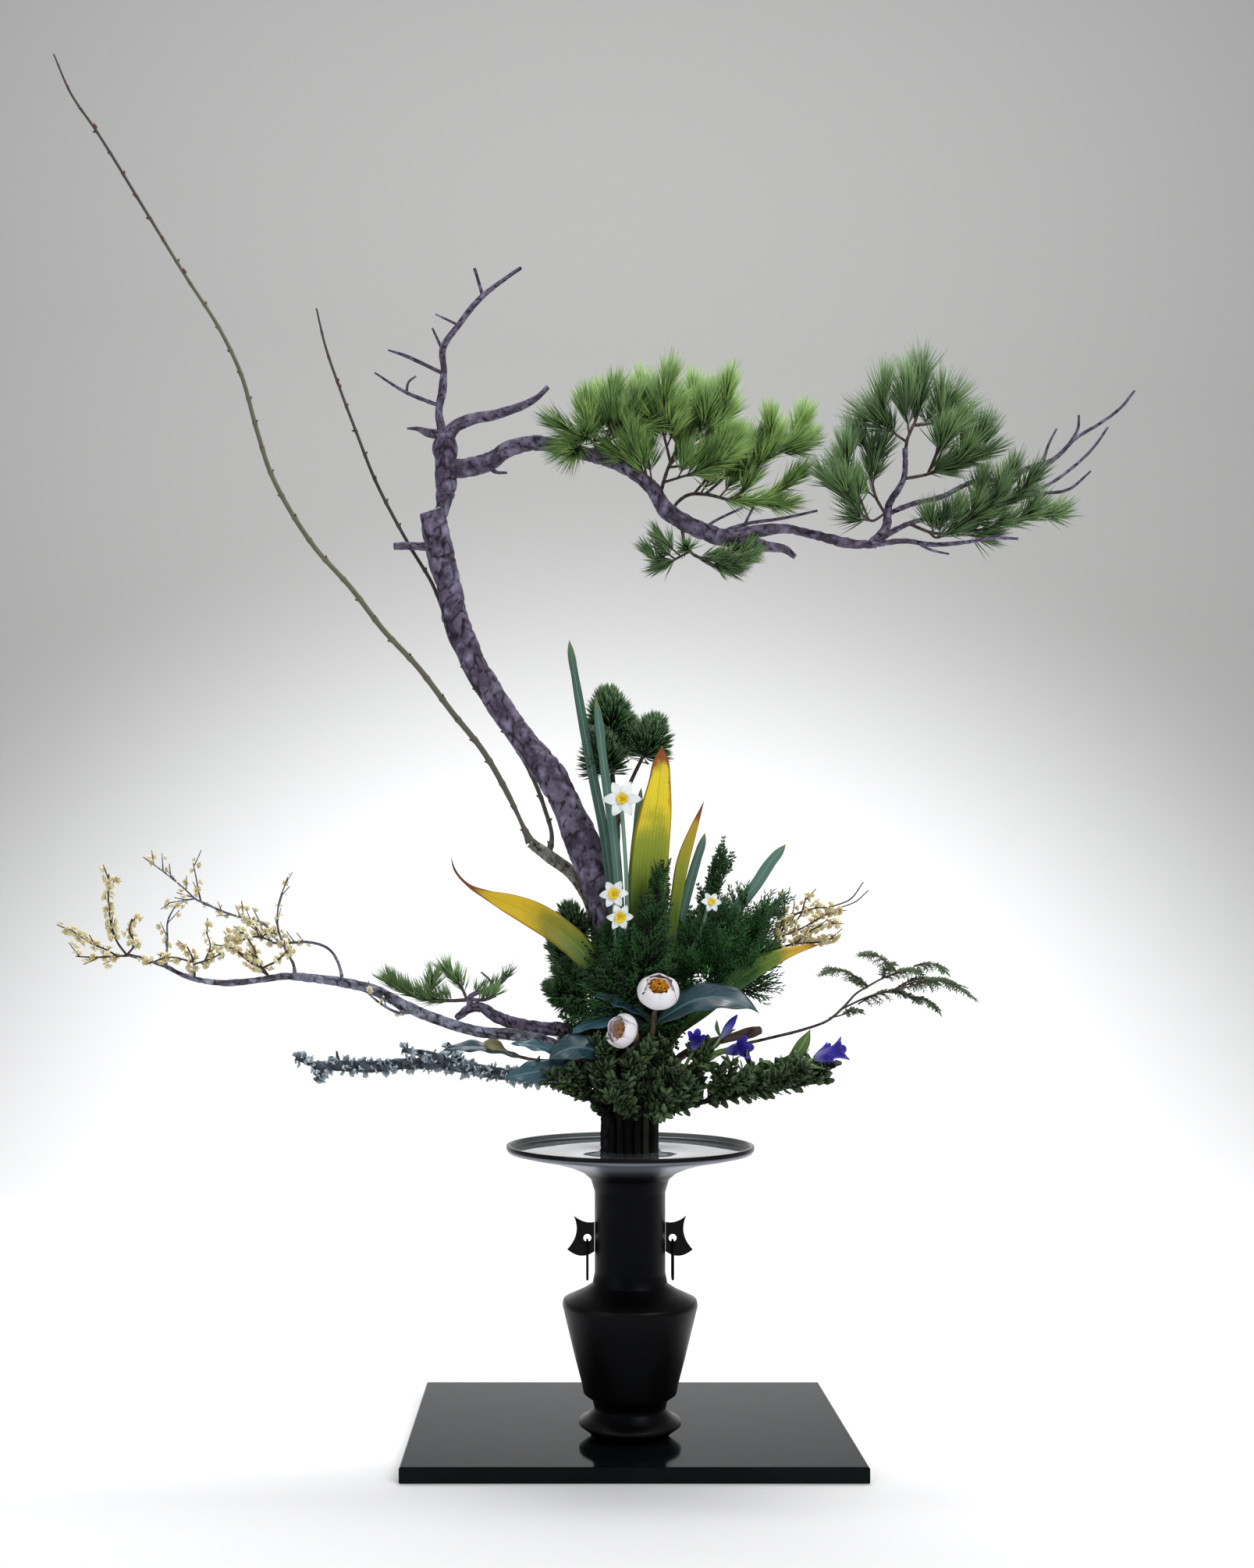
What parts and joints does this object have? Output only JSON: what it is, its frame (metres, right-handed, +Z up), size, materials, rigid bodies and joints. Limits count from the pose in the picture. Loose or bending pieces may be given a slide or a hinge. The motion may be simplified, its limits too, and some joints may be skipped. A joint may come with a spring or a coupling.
{
  "type": "ikebana flower arrangement",
  "caption": "Tall standing ikebana of pine, plum shoots, flowering branches, narcissus, camellia and evergreens in a bronze vase with drop rings on a lacquered board.",
  "frame": {"origin": "underside of the board, below the axis of the vase", "axes": "+Z up, +X to the right seen from the front, +Y away from the viewer, so the front faces -Y"},
  "size_m": [1.1009, 0.333, 1.4475],
  "materials": {
    "black_lacquer": "high gloss black lacquer",
    "boxwood": "satin small leaves",
    "camellia_leaf": "glossy dark leaves",
    "camellia_petal": "soft white petals",
    "camellia_stamens": "golden stamens",
    "cypress": "flat scaly sprays",
    "dark_bronze": "satin dark patina",
    "gentian_leaf": "satin leaves",
    "gentian_petal": "soft blue-violet petals",
    "hemlock": "soft grey-green leaflets",
    "lichen": "bark covered with grey lichen",
    "narcissus_cup": "soft yellow cup",
    "narcissus_leaf": "satin blue-green leaves",
    "narcissus_petal": "soft white petals",
    "pine_bark": "rough scaly bark with pale lichen",
    "pine_needles": "satin needles",
    "plum_bark": "smooth olive bark",
    "short_pine_needles": "satin needles",
    "straw": "dry straw",
    "stub_bark": "bark with a fresh cut",
    "water": "still water",
    "wintersweet_bark": "rough bark",
    "wintersweet_bloom": "waxy petals on brown twigs",
    "yellow_blade": "satin yellow-green leaves"
  },
  "bodies": {
    "arrangement": {"blade_left": "yellow_blade", "blade_right": "yellow_blade", "blade_upright": "yellow_blade", "boxwood_centre": "boxwood", "boxwood_left": "boxwood", "boxwood_right": "boxwood", "camellia_bloom_open": "camellia_petal", "camellia_bloom_side": "camellia_petal", "camellia_front_leaves": "camellia_leaf", "camellia_left_leaves": "camellia_leaf", "camellia_stamens": "camellia_stamens", "cut_stub": "stub_bark", "cypress_centre": "cypress", "cypress_left": "cypress", "cypress_right": "cypress", "display_board": "black_lacquer", "ear_left": "dark_bronze", "ear_right": "dark_bronze", "gentian_bloom_left": "gentian_petal", "gentian_bloom_middle": "gentian_petal", "gentian_bloom_right": "gentian_petal", "gentian_centre_leaves": "gentian_leaf", "gentian_right_leaves": "gentian_leaf", "hemlock_spray": "hemlock", "juniper_right": "cypress", "lichen_branch": "lichen", "low_pine_branch": "pine_bark", "low_pine_needles": "pine_needles", "narcissus_bloom_lower": "narcissus_petal", "narcissus_bloom_middle": "narcissus_petal", "narcissus_bloom_right": "narcissus_petal", "narcissus_bloom_upper": "narcissus_petal", "narcissus_cup_lower": "narcissus_cup", "narcissus_cup_middle": "narcissus_cup", "narcissus_cup_upper": "narcissus_cup", "narcissus_left": "narcissus_leaf", "narcissus_right": "narcissus_leaf", "pine_spray_far_left": "pine_needles", "pine_spray_far_low": "pine_needles", "pine_spray_far_middle": "pine_needles", "pine_spray_far_top": "pine_needles", "pine_spray_inner": "pine_needles", "pine_spray_outer": "pine_needles", "pine_spray_top": "pine_needles", "pine_spray_under": "pine_needles", "pine_trunk": "pine_bark", "plum_shoots": "plum_bark", "short_pine_left": "short_pine_needles", "short_pine_upper": "short_pine_needles", "straw_bundle": "straw", "vase": "dark_bronze", "water": "water", "wintersweet_left_branch": "wintersweet_bark", "wintersweet_right": "wintersweet_bloom", "wintersweet_spray_inner": "wintersweet_bloom", "wintersweet_spray_middle": "wintersweet_bloom", "wintersweet_spray_tip": "wintersweet_bloom", "wintersweet_spray_upper": "wintersweet_bloom"},
    "left_ring": {"ring_left": "dark_bronze"},
    "right_ring": {"ring_right": "dark_bronze"}
  },
  "joints": [
    {"name": "left_ring_swing", "type": "hinge", "parent": "arrangement", "child": "left_ring", "pos_m": [-0.0435, 0, 0.21478], "axis": [0, 1, 0], "range_deg": [-5, 60]},
    {"name": "right_ring_swing", "type": "hinge", "parent": "arrangement", "child": "right_ring", "pos_m": [0.0435, 0, 0.21478], "axis": [0, -1, 0], "range_deg": [-5, 60]}
  ]
}
